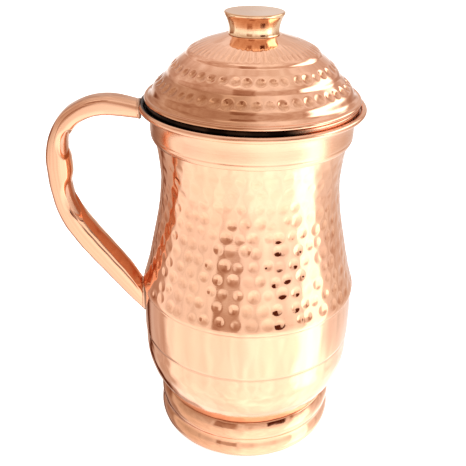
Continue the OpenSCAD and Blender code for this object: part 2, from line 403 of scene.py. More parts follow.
def copper(name, rough=0.07, spread=0.07, lines=0.0, fine=0.00001, marks=True,
           base=COPPER, other=PINK):
    """Polished copper: slow drifts of tone, a little tarnish in the hammer marks, black painted
    shade in the creases, wiping haze and hairline scratches. lines adds marks of turning on a
    lathe.
    Attributes of the mesh: inside is the duller, unpolished face of the sheet, dent the depth
    of a hammer mark; two more paint shade into the colour, a browner painted shade on sides that
    mirror darker surroundings and a black painted shade in gaps, creases, the seam and at joints."""
    p = Paint(name)
    inside = p.attribute("inside")
    drift = p.ramp(p.noise(28, 3), 0.35, 0.7)
    tone = p.mix(drift, base, other)
    tone = p.mix(p.ramp(p.noise(7, 2), 0.4, 0.75, 0, 0.5), tone, DEEP)
    if marks:
        dent = p.attribute("dent")
        tone = p.mix(p.math("MULTIPLY", dent, 0.28), tone, DEEP)
    speck = p.ramp(p.noise(1500, 2), 0.68, 0.8, 0, 0.18)
    tone = p.mix(speck, tone, DULL)
    blotch = p.mix(p.ramp(p.noise(90, 5, 0.65), 0.35, 0.7), *UNPOLISHED)
    colour = p.mix(inside, tone, blotch)
    # painted shade: browner where the mesh asks for it, on sides that mirror darker surroundings
    colour = p.mix(p.attribute("painted_shade"), colour, PAINTED_SHADE_BROWN)
    # painted shade: black in the gaps, creases and seam and at the handle's joints
    painted_black_shade = p.attribute("painted_black_shade")
    patchy = p.ramp(p.noise(90, 3, 0.5), 0.2, 0.6, 0.94, 1.0)
    colour = p.mix(p.math("MULTIPLY", painted_black_shade, patchy), colour, PAINTED_SHADE_BLACK)

    haze = p.ramp(p.noise(45, 4, 0.6), 0.4, 0.75, rough, rough + spread)
    haze = p.math("ADD", haze, p.math("MULTIPLY", inside, 0.22))
    haze = p.math("ADD", haze, p.math("MULTIPLY", painted_black_shade, 0.3))

    hair = p.noise(420, 3, 0.6, p.stretch((1, 1, 7)))
    normal = p.bump(hair, fine)
    if lines:
        cut = p.noise(1, 6, 0.75, p.turning_lines())
        normal = p.bump(cut, lines, normal=normal)
        haze = p.math("ADD", haze, p.ramp(cut, 0.45, 0.65, 0.0, 0.05))
    return p.metal(colour, haze, normal)


hammered = copper("hammered_copper", 0.045, 0.05)
planished = copper("planished_copper", 0.06, 0.06)
turned = copper("turned_copper", 0.045, 0.05, lines=0.00007, marks=False)
tube = copper("drawn_copper_tube", 0.05, 0.05, fine=0.00002)
# the knob's copper is painted lighter and yellower for brighter reflections
knob_copper_painted_lighter = copper("turned_knob_copper_painted_lighter", 0.04, 0.04, lines=0.00003, marks=False,
                base=KNOB_PAINTED_LIGHTER[0], other=KNOB_PAINTED_LIGHTER[1])


def satin(name, colour, other, rough):
    """Plain unpolished metal with tarnish, for wires and fasteners."""
    p = Paint(name)
    tone = p.mix(p.ramp(p.noise(160, 5, 0.6), 0.35, 0.7), colour, other)
    haze = p.ramp(p.noise(300, 3), 0.3, 0.7, rough, rough + 0.12)
    return p.metal(tone, haze, p.bump(p.noise(700, 4, 0.6), 0.00006))


wire_metal = satin("plain_copper_wire", (0.66, 0.38, 0.26), (0.52, 0.28, 0.18), 0.28)
brass_metal = satin("turned_brass", (0.80, 0.62, 0.33), (0.70, 0.50, 0.25), 0.16)


def finish_piece(obj, material, body, slot, *nodes):
    obj.data.materials.append(material)
    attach(obj, body)
    if nodes:
        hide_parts(*nodes)
    return obj


def inner_from(first, rows, cols):
    """1 on the rows of a sheet's inner face, from the given one on, and 0 on its outer face."""
    return np.tile((np.arange(rows) >= first)[:, None], (1, cols))


def at_places(x, known_x, grid):
    """The columns of a grid, whose rows are at known_x, at other places x."""
    return np.stack([np.interp(x, known_x, column) for column in grid.T], 1)


def painted_side_shade(cols, start, stop, amount):
    """How much painted shade the metal gets round the axis, for the darker surroundings it mirrors
    on the handle's side: in full on the handle's side up to start, and not at all beyond stop,
    both in degrees from the front."""
    theta = np.degrees(np.arange(cols) * TURN / cols)
    from_front = (theta - 270 - SWING + 180) % 360 - 180
    on_left = fade(from_front, -140, -110)
    return amount * on_left * (1 - fade(from_front, start, stop))


# the same painted shade for every row of a grid
def painted_side_shade_rows(rows, cols, start, stop, amount):
    return np.tile(painted_side_shade(cols, start, stop, amount), (rows, 1))


def painted_gap_shade(cols):
    """How much black painted shade the gap under the lid gets round the axis: least on the right
    of the jug.
    """
    theta = np.arange(cols) * TURN / cols
    return 1 - 0.9 * fade(np.cos(theta - 0.17), 0.0, 0.35)


# ---- hammered upper shell -----------------------------------------------------------------

def rows_of_marks(places, count, half_l, half_w, depth, jitter=0.1, shares=None):
    """Rows of hammer marks round the axis, each row shifted by half a mark from the last.
    shares are the rows' own shares of the depth."""
    pitch = TURN / count
    marks = []
    for k, place in enumerate(places):
        start = rng.uniform(0, 1) * 0.2 + 0.5 * (k % 2)
        for n in range(count):
            size = rng.uniform(0.80, 1.14)
            marks.append((place + rng.normal() * half_l * jitter,
                          (n + start + rng.normal() * jitter) * pitch,
                          half_l * size, half_w * size * rng.uniform(0.94, 1.06),
                          depth * rng.uniform(0.45, 1.2) * (1 if shares is None else shares[k])))
    return marks


# The small constants in every push keep a piece's skin inside the box of its CAD node.

UPPER = [[RIDGE_R, RIDGE_Z], [RIDGE_R - 0.15, RIDGE_Z + 1.8], [RIDGE_R - 1.5, RIDGE_Z + 6.3],
         [RIDGE_R - 3.3, RIDGE_Z + 12.8], [51.2, 112], [48.6, 124], [46.9, 134], [45.7, 147],
         [46.1, 156], [47.2, 165], [48.65, COLLAR_Z + 2], [49.05, COLLAR_Z + 5],
         [49.05, NECK_TOP_Z]]
upper_path = smooth(UPPER)
COLS = 480
loop, outer = sheet(upper_path, WALL, 0.70, 2.4)
face = loop[:outer]
face_z = face[:, 1]
row_z = np.arange(93.0, 168, 7.0)
marks = rows_of_marks(np.interp(row_z, face_z, lengths(face)), 46, 3.0, 3.0, 0.32, 0.15,
                      1 - 0.6 * fade(row_z, 132, 160))
struck = strike(face, COLS, marks)
struck *= (1 - fade(face_z, 164, 169))[:, None] * fade(face_z, RIDGE_Z + 0.6, RIDGE_Z + 3)[:, None]
uneven = ripple(face, COLS, 40, 0.03, 3) * fade(face_z, RIDGE_Z, RIDGE_Z + 4)[:, None]
push = np.zeros((len(loop), COLS))
push[:outer] = uneven - struck - 0.03
inner = slice(outer + 5, -5)
inner_z = loop[inner, 1]
shows_inside = 0.35 * fade(inner_z, RIDGE_Z + 9, RIDGE_Z + 14) * (1 - fade(inner_z, 164, 168))
push[inner] = at_places(inner_z, face_z, struck) * shows_inside[:, None]
dent = np.zeros_like(push)
dent[:outer] = np.clip(struck / 0.25, 0, 1)
shell = spin("upper_shell_hammered", loop, COLS, push,
             attributes={"inside": inner_from(outer + 3, len(loop), COLS), "dent": dent})
finish_piece(shell, hammered, "jug", "hammered_copper", "upper_shell")

# ---- lower bowl ---------------------------------------------------------------------------

BOWL = [[CREASE_R, CREASE_Z], [CREASE_R + 1.8, CREASE_Z + 3.2], [CREASE_R + 4, CREASE_Z + 7.2],
        [53.7, 36], [55.3, 41], [56.4, 46], [RIDGE_R - 0.2, 51], [RIDGE_R - 0.05, BAND_Z],
        [RIDGE_R - 0.05, BAND_Z + 7], [RIDGE_R - 0.2, BAND_Z + 15], [RIDGE_R - 0.6, RIDGE_Z - 1]]
below_lap = smooth(BOWL)
lap = (upper_path - outward(upper_path) * (WALL + GAP))[upper_path[:, 1] < RIDGE_Z + 6]
bowl_path = np.concatenate([below_lap, lap[2:]])
COLS = 420
loop, outer = sheet(bowl_path, WALL, 0.75, 2.6)
face = loop[:outer]
face_s, face_z = lengths(face), face[:, 1]
bowl_rows, band_rows = (np.interp(z, face_z, face_s)
                        for z in (np.arange(27.5, 58, 5.6), np.arange(65, 84, 6.5)))
marks = rows_of_marks(bowl_rows, 44, 3.6, 3.5, 0.06, 0.16)
marks += rows_of_marks(band_rows, 30, 6.5, 5.5, 0.02, 0.2)
struck = strike(face, COLS, marks, 1.6)
groove = 0.20 * bell(face_z, BAND_Z, 0.9)
step_in = 0.30 * (1 - fade(face_z, BAND_Z - 0.5, BAND_Z + 0.4)) * fade(face_z, 42, 57)
seen = (face_s < lengths(bowl_path)[len(below_lap) - 1] - 1.0)[:, None]
push = np.zeros((len(loop), COLS))
push[:outer] = seen * (ripple(face, COLS, 30, 0.035, 5) - struck
                       - (groove + step_in)[:, None] - 0.05)
dent, painted_black_shade = np.zeros_like(push), np.zeros_like(push)
dent[:outer] = np.clip(struck / 0.3, 0, 1)
# painted shade: a dark line in the groove below the smooth band
painted_black_shade[:outer] = 0.3 * bell(face_z, BAND_Z - 0.2, 1.1)[:, None]
bowl = spin("lower_bowl_planished", loop, COLS, push,
            attributes={"inside": inner_from(outer + 3, len(loop), COLS),
                        "dent": dent, "painted_black_shade": painted_black_shade})
finish_piece(bowl, planished, "jug", "planished_copper", "lower_bowl")

COLS = 240
flange_outline = np.concatenate([
    resample([[FLANGE_R + 0.4, CREASE_Z], [CREASE_R - 0.5, CREASE_Z]], 0.8),
    resample([[CREASE_R - 0.4, CREASE_Z + WALL], [FLANGE_R + 0.4, CREASE_Z + WALL]], 0.8),
    arc((FLANGE_R + 0.5, CREASE_Z + WALL / 2), WALL / 2, 100, 260, 5)])
flange = spin("bowl_flange", flange_outline, COLS,
              attributes={"inside": inner_from(0, len(flange_outline), COLS)})
finish_piece(flange, planished, "jug", "planished_copper")

# ---- bottom -------------------------------------------------------------------------------

disc_r, disc_z = high("base_disc", 0), low("base_disc", 2)
disc_path = np.concatenate([
    resample([[0.6, disc_z], [disc_r - 0.3, disc_z]], 1.6),
    arc((disc_r - 0.45, disc_z + 0.5), 0.45, -60, 60, 4),
    resample([[disc_r - 0.3, disc_z + 1], [0.6, disc_z + 1]], 0.9)])
push = np.tile(-0.04 - 0.03 * np.cos(disc_path[:, :1] * 1.9), (1, COLS))
bottom = spin("base_disc_spun", disc_path, COLS, push, closed=False,
              attributes={"inside": inner_from(0, len(disc_path), COLS)})
finish_piece(bottom, turned, "jug", "inner_copper", "base_disc")

# ---- foot ---------------------------------------------------------------------------------

FOOT = [[FOOT_R - 1.6, 0], [FOOT_R - 0.5, 1.4], [FOOT_R, 4.2], [FOOT_R - 0.35, 7],
        [FOOT_R - 1.35, 10], [FOOT_R - 1.3, 11.6], [FOOT_R - 0.5, 14], [FOOT_R - 0.25, 16.6],
        [FOOT_R - 0.6, 19.4], [CREASE_R + 0.4, CREASE_Z - 2], [CREASE_R - 0.3, CREASE_Z - 0.8]]
COLS = 360
face = resample(smooth(FOOT)[3:], 0.5)
under = face - outward(face) * WALL
inner_face = resample(under[(under[:, 1] > 1.4) & (under[:, 1] < CREASE_Z - 2.2)], 1.4)[::-1]
sole = resample([[FOOT_R - 3.9, 0.02], [FOOT_R - 1.9, 0.0]], 0.5)
foot_loop = np.concatenate([
    sole, face,
    resample([[CREASE_R - 1.2, CREASE_Z - 0.75], [FLANGE_R + 0.4, CREASE_Z - 0.75]], 0.9),
    arc((FLANGE_R + 0.5, CREASE_Z - 1.25), 0.48, 100, 260, 5),
    resample([[FLANGE_R + 0.6, CREASE_Z - 1.75], [CREASE_R - 1.3, CREASE_Z - 1.85]], 0.9),
    inner_face,
    resample([[FOOT_R - 2.3, 1.05], [FOOT_R - 3.7, 1.0]], 0.5),
    arc((FOOT_R - 3.9, 0.5), 0.48, 80, 250, 4)])
outside = slice(len(sole), len(sole) + len(face))
push = np.zeros((len(foot_loop), COLS))
push[outside] = ripple(face, COLS, 18, 0.035, 8) - 0.05
# painted shade: the foot's left side is browner, for the shadowed floor it mirrors
foot = spin("foot_ring_turned", foot_loop, COLS, push,
            attributes={"inside": inner_from(outside.stop + 1, len(foot_loop), COLS),
                        "painted_shade": painted_side_shade_rows(len(foot_loop), COLS, -45, 6, 0.9)})
finish_piece(foot, planished, "jug", "polished_copper", "foot_ring")

# ---- collar and rolled rim ----------------------------------------------------------------

COLLAR = [[COLLAR_R - 0.75, COLLAR_Z], [COLLAR_R - 0.3, COLLAR_Z + 1.2],
          [COLLAR_R, COLLAR_Z + 4], [COLLAR_R, COLLAR_Z + 9], [COLLAR_R + 0.45, RIM_Z - 3.5],
          [COLLAR_R + 1.25, RIM_Z - 1.9], [COLLAR_R + 2.4, RIM_Z - 0.9]]
collar_path = smooth(COLLAR)
roll = arc((ROLL_MID, RIM_Z), ROLL, -143, 208, 60)
curl = arc((ROLL_MID, RIM_Z), 0.78, 208, -140, 22)
face = resample(np.concatenate([collar_path, roll[1:]]), 0.33)
inner_face = resample((collar_path - outward(collar_path) * WALL)[::-1], 1.4)
loop = np.concatenate([face, curl, inner_face[1:], round_edge(inner_face[-1], face[0])])
face_z = face[:, 1]
on_wall = (lengths(face) < lengths(collar_path)[-1])[:, None]
bead = 0.10 * bell(face_z, COLLAR_Z + 1.7, 0.55) - 0.14 * bell(face_z, COLLAR_Z + 2.7, 0.5)
push = np.zeros((len(loop), COLS))
push[:len(face)] = (bead[:, None] + ripple(face, COLS, 30, 0.02, 11)) * on_wall - 0.06
# painted shade: black on the rim's inside, where it shows in the gap under the lid
painted_black_shade = np.zeros_like(push)
by_gap = (loop[:, 1] > COLLAR_Z + 11) & (np.arange(len(loop)) > len(face) - 12)
painted_black_shade[by_gap] = painted_gap_shade(COLS)
# painted shade: the collar's left side is browner
collar = spin("collar_and_rolled_rim", loop, COLS, push,
              attributes={"inside": inner_from(len(face), len(loop), COLS), "painted_black_shade": painted_black_shade,
                          "painted_shade": painted_side_shade_rows(len(loop), COLS, -62, -48, 1.0)})
finish_piece(collar, turned, "jug", "polished_copper", "collar_band")

# ---- lid ----------------------------------------------------------------------------------

lower_step = smooth([[LID_R - 1.5, LID_EDGE_Z + 0.9], [LID_R - 2.2, 190.7], [LID_R - 3.5, 192],
                     [47.2, 195.2], [44, 198], [41.3, 200.5]])
middle_step = smooth([[40.4, 202.3], [38.6, 204.4], [35.2, 207.3]])
top_cone = smooth([[32.1, 209.6], [31.6, 210.6], [30.2, 211.9], [27, 213.6], [22, 215.6],
                   [16.5, 217.3], [13, LID_TOP]])
lid_path = np.concatenate([lower_step, middle_step, top_cone, [[1.9, LID_TOP]]])
COLS = 460
lid_roll = arc((LID_ROLL_MID, LID_EDGE_Z), LID_ROLL, -225, 82, 26)
roll_inside = arc((LID_ROLL_MID, LID_EDGE_Z), 0.70, 82, -225, 16)
roll_end = lengths(lid_roll)[-1]
face = resample(np.concatenate([lid_roll, lid_path[2:]]), 0.5)
inner_path = resample((lid_path - outward(lid_path) * LID_WALL)[3:], 1.3)[::-1]
lid_edge = round_edge(face[-1], inner_path[0], 3)
lid_loop = np.concatenate([face, lid_edge, inner_path, roll_inside])
face_s, face_r = lengths(face), face[:, 0]
treads = face_s > roll_end + 0.5

marks = []
for radius, count, half_l, half_w, depth, jitter in (
        (44.8, 46, 2.6, 2.4, 0.80, 0.05), (37.6, 43, 2.3, 2.3, 0.68, 0.06),
        (28.3, 58, 3.0, 1.35, 0.24, 0.07), (25.0, 58, 5.5, 1.2, 0.13, 0.07)):
    place = np.interp(-radius, -face_r[treads], face_s[treads])
    marks += rows_of_marks([place], count, half_l, half_w, depth, jitter)
struck = strike(face, COLS, marks, 1.0)
steady = fade(face_s, roll_end, roll_end + 4)[:, None]
push = np.zeros((len(lid_loop), COLS))
push[:len(face)] = (ripple(face, COLS, 25, 0.025, 17) - 0.04) * steady - struck
lid_inner = len(face) + len(lid_edge) + np.arange(len(inner_path))
push[lid_inner] = 0.3 * at_places(-inner_path[:, 0], -face_r[treads], struck[treads])
# painted shade: the lower and middle steps are browner on the left, and the hammer marks browner
# still
dent, painted_shade = np.zeros_like(push), np.zeros_like(push)
dent[:len(face)] = np.clip(struck / 0.5, 0, 1)
on_lower = fade(face_r, 40.6, 41.6)[:, None]
on_middle = (1 - on_lower) * fade(face_r, 33, 35)[:, None]
painted_shade[:len(face)] = on_lower * painted_side_shade(COLS, -8, 12, 0.85) + on_middle * painted_side_shade(COLS, -25, -8, 0.25)
lid = spin("lid_shell_hammered", lid_loop, COLS, push,
           attributes={"inside": inner_from(len(face), len(lid_loop), COLS), "dent": dent,
                       "painted_shade": np.clip(painted_shade + 0.5 * dent, 0, 1)})
finish_piece(lid, hammered, "lid", "hammered_copper", "lid_shell")

# ---- ring under the lid -------------------------------------------------------------------

SKIRT_R = 47.7
skirt = np.concatenate([
    [[SKIRT_R - 1.4, NECK_TOP_Z - 11], [SKIRT_R - 0.2, NECK_TOP_Z - 5.5]],
    smooth([[SKIRT_R, NECK_TOP_Z + 0.3], [48.5, NECK_TOP_Z + 1.9], [49.9, NECK_TOP_Z + 3.1],
            [51.1, RIM_Z - 0.05], [ROLL_MID - 2.05, RIM_Z + 0.9],
            [LID_ROLL_MID + 0.4, LID_BOTTOM - 0.7], [LID_ROLL_MID, LID_BOTTOM - 0.03]], 6)])
loop, outer = sheet(skirt, LID_WALL, 0.6, 1.2)
COLS = 300
# painted shade: the ring is black where it shows in the gap under the lid
in_gap = fade(loop[:, 1], NECK_TOP_Z + 0.5, NECK_TOP_Z + 3)[:, None]
ring = spin("lid_seating_ring", loop, COLS, np.full((len(loop), COLS), -0.02),
            attributes={"inside": inner_from(outer + 3, len(loop), COLS),
                        "painted_black_shade": in_gap * painted_gap_shade(COLS)})
finish_piece(ring, turned, "lid", "polished_copper", "lid_collar")

# ---- knob ---------------------------------------------------------------------------------

knob_path = np.concatenate([
    resample([[0.5, LID_TOP + 0.02], [KNOB_WAIST + 0.2, LID_TOP + 0.02]], 1.5),
    resample(smooth([[KNOB_WAIST + 0.38, LID_TOP + 0.1], [KNOB_WAIST + 0.1, LID_TOP + 0.9],
                     [KNOB_WAIST, LID_TOP + 2.2], [KNOB_WAIST + 0.3, LID_TOP + 4.2],
                     [KNOB_WAIST + 0.9, LID_TOP + 6.2], [KNOB_R - 0.9, KNOB_TOP - 2.6],
                     [KNOB_R - 0.3, KNOB_TOP - 1.6]]), 0.25),
    arc((KNOB_R - 0.75, KNOB_TOP - 0.75), 0.72, -20, 80, 10),
    resample([[KNOB_R - 1.1, KNOB_TOP - 0.06], [0.5, KNOB_TOP - 0.22]], 0.45)])
COLS = 180
knob_r, on_top = knob_path[:, :1], knob_path[:, 1:] > KNOB_TOP - 0.5
rings_cut = np.where(on_top & (knob_r < KNOB_R - 2), 0.012 * np.cos(knob_r * 5.2), 0)
# painted shade: the knob's top is browner
knob = spin("knob_turned", knob_path, COLS, np.tile(rings_cut - 0.02, (1, COLS)), closed=False,
            attributes={"painted_shade": np.tile(0.45 * on_top, (1, COLS))})
finish_piece(knob, knob_copper_painted_lighter, "lid", "polished_copper", "knob")

# ---- handle -------------------------------------------------------------------------------

REACH = -low("handle_tube", 0)
PATH = [[55.2, 183.1], [64, 184.8], [72, 185.4], [81, 183.4], [88.5, 178.6], [93.2, 171.5],
        [REACH - 6.1, 161], [REACH - 6, 148], [94, 136], [90.4, 125.6], [83.6, 114.4],
        [75, 102.4], [66.4, 90.6], [57.7, 77.8]]
HALF_T = [4.2, 4.7, 4.7, 4.5, 4.5, 5, 6.1, 6.2, 6.2, 6.7, 7.1, 7.1, 6.8, 5.2]
RINGS, BORE_RINGS, SIDES = 300, 60, 120
SEAM_AT = 75                                # degrees round the tube from its inner side


def tube_skin(inset, rings, sides, detail):
    """Rings of the tube's skin, in mm; detail presses the grips and creases into it."""
    last = len(PATH) - 1
    fine = np.linspace(0, last, 2000)
    so_far = lengths(along(PATH, fine))
    u = np.interp(np.linspace(0, 1, rings), so_far / so_far[-1], fine)
    here = along(PATH, u)
    d = along(PATH, np.minimum(u + 0.13, last)) - along(PATH, np.maximum(u - 0.13, 0))
    d /= np.linalg.norm(d, axis=1)[:, None]
    f = u / last
    lean = np.clip(1 - np.minimum(f, 1 - f) / 0.12, 0, None)
    slant = lean * d[:, 1] / np.where(lean > 0, d[:, 0], 1)     # the ends are cut upright
    out = np.stack([-d[:, 1], d[:, 0]], 1) + slant[:, None] * d
    t = along(HALF_T, u)[:, None] - inset
    w = HANDLE_W - inset
    a = np.arange(sides)[None, :] * TURN / sides
    c, s = np.cos(a), np.sin(a)
    square = (0.80 - 0.24 * bell(f, 0.2, 0.27) + 0.06 * bell(f, 0.5, 0.2))[:, None]
    side = np.sign(c) * np.abs(c) ** square * t
    across = np.sign(s) * np.abs(s) ** square * w
    if detail:
        s_here = lengths(here)[:, None]
        phi = np.degrees(np.arctan2(np.abs(s), -c))        # 0 on the inner side, 180 outside
        z = here[:, 1]
        inner = here[:, 0][:, None] > 80
        for z_grip, half in ((168.5, 9.5), (136.0, 13.0)):
            at = np.interp(-z_grip, -z, s_here[:, 0])
            q = ((s_here - at) / half) ** 2 + ((phi - 50) / 48) ** 2
            dish = 2.6 * np.clip(1 - q, 0, None) ** 1.2 * inner
            side = side + dish * np.clip(-c, 0.25, 1) * 0.9
            across = across - np.sign(s) * dish * 0.62
        valleys = 1.3 * (bell(z, 167.5, 9) + bell(z, 142.5, 9)) - 0.5 * bell(z, 154.5, 10)
        side = side + valleys[:, None] * np.clip(-c, 0, 1) ** 2 * inner
        # the lower leg has a flattened inner corner and the tube's open seam beside it
        run = (fade(f, 0.60, 0.68) * (1 - fade(f, 0.95, 0.99)))[:, None]
        facet = math.radians(36)
        reach_in = -side * math.cos(facet) + np.abs(across) * math.sin(facet)
        limit = reach_in.max(1, keepdims=True) * (0.955 - 0.075 * fade(f, 0.65, 0.95)[:, None])
        excess = np.clip(reach_in - limit, 0, None) * run
        seam = 0.4 * np.exp(-((phi - SEAM_AT) / 1.9) ** 2) * run * (s < 0)
        side = side + excess * math.cos(facet)
        across = across - np.sign(s) * (excess * math.sin(facet) + seam)
        wobble = 0.05 * np.cos(s_here * 0.55 + 2 * a) + 0.04 * np.cos(s_here * 0.21 - a * 3)
        side = side + wobble * (1 - np.clip(lean, 0, 1))[:, None]
    q = here[:, None, :] + out[:, None, :] * side[:, :, None]
    return np.stack([-q[..., 0], across, q[..., 1]], -1)


skin = tube_skin(0, RINGS, SIDES, True)
bore = tube_skin(WALL, BORE_RINGS, SIDES, False)
co = np.concatenate([skin.reshape(-1, 3), bore.reshape(-1, 3)])
first_bore = RINGS * SIDES
far, far_bore = first_bore - SIDES, len(co) - SIDES
j = np.arange(SIDES)
j2 = (j + 1) % SIDES
quads = np.concatenate([
    grid_faces(RINGS, SIDES), grid_faces(BORE_RINGS, SIDES)[:, ::-1] + first_bore,
    np.stack([j2, j, first_bore + j, first_bore + j2], 1),
    np.stack([far + j, far + j2, far_bore + j2, far_bore + j], 1)])
around = j * TURN / SIDES
phi = np.degrees(np.arctan2(np.abs(np.sin(around)), -np.cos(around)))
f = np.linspace(0, 1, RINGS)[:, None]
seam_run = fade(f, 0.61, 0.66) * (1 - fade(f, 0.94, 0.98))
# painted shade along the seam's groove on the lower leg
seam_painted_shade = np.exp(-((phi - SEAM_AT) / 1.5) ** 2) * (np.sin(around) < 0) * seam_run
# painted contact shadow at the tube's ends: lighter at the top, where it meets the rim, darker at
# the bottom, where it meets the body
joint_painted_shadow = 0.35 * (1 - fade(f, 0.0, 0.008)) + 0.8 * fade(f, 0.992, 1.0)
painted_black_shade = np.zeros(len(co))
painted_black_shade[:first_bore] = np.clip(seam_painted_shade + joint_painted_shadow, 0, 1).ravel()
# painted shade: the whole tube a little browner, its inner and outer sides more so
handle = make_mesh("handle_tube_with_grips", co * MM, quads, attributes={
    "inside": np.arange(len(co)) >= first_bore, "painted_black_shade": painted_black_shade,
    "painted_shade": np.tile(0.20 + 0.5 * np.cos(around) ** 4, RINGS + BORE_RINGS)})
finish_piece(handle, tube, "jug", "polished_copper", "handle_tube")


def fillet(name, ring, steps, node):
    """Solder run round a tube's end: the end's outline, grown by each step's amount and set
    at each step's distance from the axis. Its last rows, against the jug, are black with painted
    contact shadow."""
    centre = ring.mean(0)
    n, count = len(steps), len(ring)
    rows = []
    for x, grow in steps:
        wavy = 1 + 0.02 * np.cos(np.arange(count) * TURN / count * 5) * (grow > 1)
        p = centre + (ring - centre) * (grow * wavy)[:, None]
        p[:, 0] = -x
        rows.append(p)
    ends = [[-x, 0, centre[2]] for x, _ in (steps[0], steps[-1])]
    # painted contact shadow on the last rows, against the jug
    contact_shadow = np.repeat(0.75 * fade(np.arange(n), n - 4, n - 2), count)
    obj = make_mesh(name, np.concatenate(rows + [ends]) * MM, grid_faces(n, count),
                    end_fans(n, count), {"painted_black_shade": np.append(contact_shadow, [0, 1])})
    finish_piece(obj, tube, "jug", "solder", node)


fillet("handle_top_brazing", skin[0],
       [(56.0, 0.86), (55.8, 0.985), (55.6, 1.0), (55.3, 1.01), (55.0, 1.03), (54.4, 1.04),
        (54.0, 1.0)], "handle_top_solder")
fillet("handle_bottom_brazing", skin[-1],
       [(58.2, 0.84), (58.0, 0.985), (57.8, 1.0), (57.5, 1.02), (57.1, 1.05), (56.6, 1.08),
        (55.8, 1.08)], "handle_bottom_solder")

# ---- washer and screw under the lid -------------------------------------------------------

WASHER_R, HOLE_R = 5.0, 1.73
washer_low, washer_top = low("knob_washer", 2), high("knob_washer", 2)
washer_outline = np.concatenate([
    arc((WASHER_R - 0.2, washer_low + 0.2), 0.2, -90, 0, 4),
    arc((WASHER_R - 0.2, washer_top - 0.2), 0.2, 0, 90, 4),
    arc((HOLE_R + 0.12, washer_top - 0.12), 0.12, 90, 180, 3),
    arc((HOLE_R + 0.12, washer_low + 0.12), 0.12, 180, 270, 3)])
washer = spin("knob_washer_turned", washer_outline, 96)
finish_piece(washer, brass_metal, "lid", "fastener_brass", "knob_washer")

head_low, head_r = low("knob_screw", 2), high("knob_screw", 0)
shank_r, shank_top = 1.48, high("knob_screw", 2)
screw_outline = np.concatenate([
    [[0.3, head_low]], resample([[0.8, head_low], [head_r - 0.9, head_low + 0.08]], 0.4),
    arc((head_r - 0.7, head_low + 0.75), 0.7, -70, 0, 6), [[head_r, washer_low - 0.35]],
    arc((head_r - 0.15, washer_low - 0.15), 0.15, 0, 90, 3), [[shank_r + 0.1, washer_low]],
    resample([[shank_r, washer_low + 0.1], [shank_r, shank_top - 0.5]], 0.25),
    [[shank_r - 0.4, shank_top]], [[0.3, shank_top]]])
COLS = 96
SLOT_HALF, SLOT_DEPTH, PITCH = 0.42, 0.8, 0.7
theta = np.arange(COLS) * TURN / COLS
screw_r, screw_z = screw_outline[:, :1], screw_outline[:, 1:]
on_head = (screw_r < head_r - 0.5) & (screw_z < head_low + 0.3)
slot = np.where(np.abs(screw_r * np.sin(theta)) < SLOT_HALF, -SLOT_DEPTH, 0) * on_head
on_thread = (screw_z > washer_top + 0.3) & (screw_z < shank_top - 0.3)
thread = 0.12 * (np.cos(TURN * screw_z / PITCH + theta) - 1) * on_thread
screw = spin("knob_screw_slotted", screw_outline, COLS, slot + thread, closed=False)
finish_piece(screw, brass_metal, "lid", "fastener_brass", "knob_screw")

# ---- wires rolled into the two edges, which stay as the CAD has them ----------------------

for name in ("rim_wire", "lid_edge_wire"):
    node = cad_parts[name]
    node.data.materials.clear()
    node.data.materials.append(wire_metal)

# ---- floor, light and camera --------------------------------------------------------------

scene = bpy.context.scene
scene.view_settings.view_transform = "Standard"
scene.view_settings.look = "None"

FLOOR_HALF = 4.0
floor_mesh = bpy.data.meshes.new("floor")
floor_mesh.from_pydata([(x * FLOOR_HALF, y * FLOOR_HALF, cad_low.z - 0.0002)
                        for x, y in ((-1, -1), (1, -1), (1, 1), (-1, 1))], [], [(0, 1, 2, 3)])
floor = bpy.data.objects.new("floor", floor_mesh)
scene.collection.objects.link(floor)
floor.visible_glossy = False
paper = Paint("pale_paper")
grain = paper.ramp(paper.noise(3, 2), 0.3, 0.7)
for key, value in (("Base Color", paper.mix(grain, (0.93, 0.93, 0.925), (0.90, 0.90, 0.895))),
                   ("Roughness", 0.8), ("Emission Color", (1, 1, 1, 1)),
                   ("Emission Strength", 0.7)):
    paper.put(paper.shader.inputs[key], value)
floor.data.materials.append(paper.material)


def direction(azimuth, elevation):
    """Unit vector from the jug; azimuth 0 is towards the camera's side and 90 to its right."""
    a, e = math.radians(azimuth + SWING), math.radians(elevation)
    return Vector((math.sin(a) * math.cos(e), -math.cos(a) * math.cos(e), math.sin(e)))


def softbox(name, azimuth, elevation, distance, size, radiance, tint=(1, 1, 1)):
    """A rectangular light that faces the jug's middle, with a given brightness."""
    data = bpy.data.lights.new(name, "AREA")
    data.shape = "RECTANGLE"
    data.size, data.size_y = size
    data.energy = radiance * math.pi * size[0] * size[1]
    data.color = tint
    obj = bpy.data.objects.new(name, data)
    obj.visible_glossy = False
    scene.collection.objects.link(obj)
    towards = direction(azimuth, elevation)
    obj.location = Vector((0, 0, 0.12)) + towards * distance
    obj.rotation_mode = "QUATERNION"
    obj.rotation_quaternion = towards.to_track_quat("Z", "Y")


softbox("window_right", 78, 30, 1.3, (0.9, 1.3), 2.4, (1.0, 0.99, 0.96))
softbox("overhead", -20, 78, 1.5, (1.2, 1.0), 2.2)

world = bpy.data.worlds.new("studio")
scene.world = world
world.use_nodes = True
room = Nodes(world.node_tree)
room.place = room.add("ShaderNodeTexCoord").outputs["Generated"]


def patch(azimuth, elevation, half_w, half_h, blur, change):
    """change inside a soft-edged rectangle of the surroundings, in degrees, and 0 outside."""
    c = direction(azimuth, elevation)
    right = Vector((0, 0, 1)).cross(c).normalized()
    up = c.cross(right)
    ahead = room.dot(room.place, c)
    level = room.ramp(ahead, 0.0, 0.1, 0.0, change)
    for axis, half in ((right, half_w), (up, half_h)):
        tangent = room.math("DIVIDE", room.dot(room.place, axis),
                            room.math("MAXIMUM", ahead, 0.01))
        edge = math.tan(math.radians(half))
        mask = room.ramp(room.math("ABSOLUTE", tangent), edge + blur, max(edge - blur, 0))
        level = room.math("MULTIPLY", level, mask)
    return level


